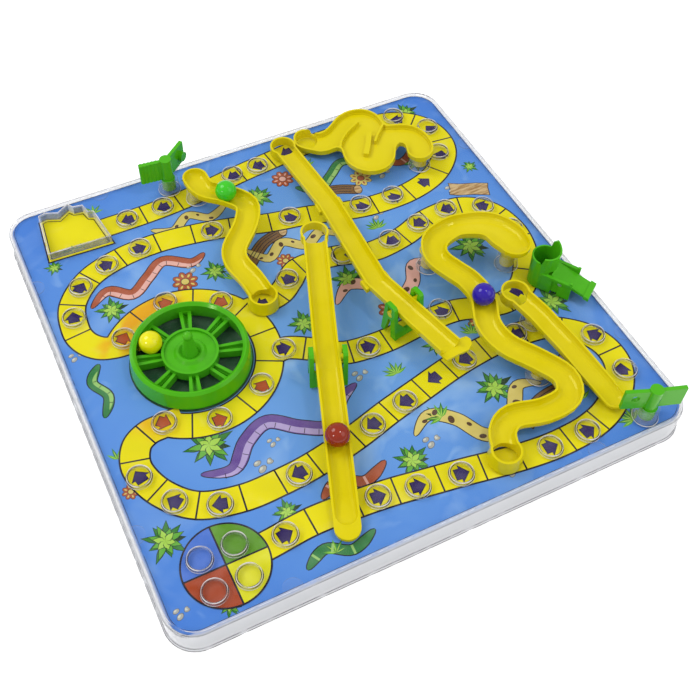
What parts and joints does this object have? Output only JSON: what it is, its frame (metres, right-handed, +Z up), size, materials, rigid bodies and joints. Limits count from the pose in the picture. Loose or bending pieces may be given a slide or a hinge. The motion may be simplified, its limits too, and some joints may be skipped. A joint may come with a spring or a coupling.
{
  "type": "rolling ball board game",
  "caption": "Square clear-topped board with winding ball slides, tipping ladders, a spoked spinner wheel, turning bats and a lever cup that throws a ball.",
  "frame": {"origin": "centre of the board's footprint, on the surface it stands on", "axes": "+Z up, -Y towards the player's side with the start circle on the left, +X to the right"},
  "size_m": [0.2874, 0.2874, 0.0425],
  "materials": {
    "clear_plastic": "clear moulded plastic",
    "printed_card": "printed card",
    "tray_plastic": "moulded plastic",
    "yellow_plastic": "glossy moulded plastic",
    "green_plastic": "glossy moulded plastic",
    "steel_pin": "plain steel",
    "red_ball": "glossy plastic",
    "blue_ball": "glossy plastic",
    "green_ball": "glossy plastic",
    "yellow_ball": "glossy plastic"
  },
  "bodies": {
    "board": {"cover": "clear_plastic", "printed_card": "printed_card", "base_tray": "tray_plastic", "cell_rings": "clear_plastic", "slide_posts": "clear_plastic", "finish_wall": "clear_plastic", "back_slide": "yellow_plastic", "long_slide": "yellow_plastic", "coil_slide": "yellow_plastic", "short_ladder": "yellow_plastic", "left_bracket": "green_plastic", "right_bracket": "green_plastic", "spinner_spindle": "steel_pin", "flicker_cup": "green_plastic", "flicker_pin": "steel_pin"},
    "spinner": {"spinner_wheel": "green_plastic"},
    "left_seesaw": {"left_ladder": "yellow_plastic"},
    "right_seesaw": {"right_ladder": "yellow_plastic"},
    "lever": {"flicker_lever": "green_plastic"},
    "back_bat": {"back_bat": "green_plastic"},
    "front_bat": {"front_bat": "green_plastic"},
    "red_ball": {"red_ball": "red_ball"},
    "blue_ball": {"blue_ball": "blue_ball"},
    "green_ball": {"green_ball": "green_ball"},
    "yellow_ball": {"yellow_ball": "yellow_ball"}
  },
  "joints": [
    {"name": "spinner_turn", "type": "hinge", "parent": "board", "child": "spinner", "pos_m": [-0.07859, 0.0013, 0.0225], "axis": [0, 0, 1], "continuous": true},
    {"name": "left_ladder_tip", "type": "hinge", "parent": "board", "child": "left_seesaw", "pos_m": [-0.01817, -0.04054, 0.0321], "axis": [-0.9409, 0.3387, 0], "range_deg": [0, 9]},
    {"name": "right_ladder_tip", "type": "hinge", "parent": "board", "child": "right_seesaw", "pos_m": [0.03355, -0.02696, 0.0321], "axis": [0.9839, 0.1788, 0], "range_deg": [0, 18]},
    {"name": "flicker_press", "type": "hinge", "parent": "board", "child": "lever", "pos_m": [0.12771, -0.04186, 0.0249], "axis": [0.8192, 0.5736, 0], "range_deg": [0, 9]},
    {"name": "back_bat_turn", "type": "hinge", "parent": "board", "child": "back_bat", "pos_m": [-0.04394, 0.12682, 0.0245], "axis": [0, 0, 1], "range_deg": [-45, 75]},
    {"name": "front_bat_turn", "type": "hinge", "parent": "board", "child": "front_bat", "pos_m": [0.11803, -0.13281, 0.0245], "axis": [0, 0, 1], "range_deg": [-70, 70]},
    {"name": "red_ball_lift", "type": "slide", "parent": "left_seesaw", "child": "red_ball", "axis": [0, 0, 1], "range_m": [0, 0.03]},
    {"name": "blue_ball_lift", "type": "slide", "parent": "board", "child": "blue_ball", "axis": [0, 0, 1], "range_m": [0, 0.03]},
    {"name": "green_ball_lift", "type": "slide", "parent": "board", "child": "green_ball", "axis": [0, 0, 1], "range_m": [0, 0.03]},
    {"name": "yellow_ball_lift", "type": "slide", "parent": "spinner", "child": "yellow_ball", "axis": [0, 0, 1], "range_m": [0, 0.03]}
  ]
}
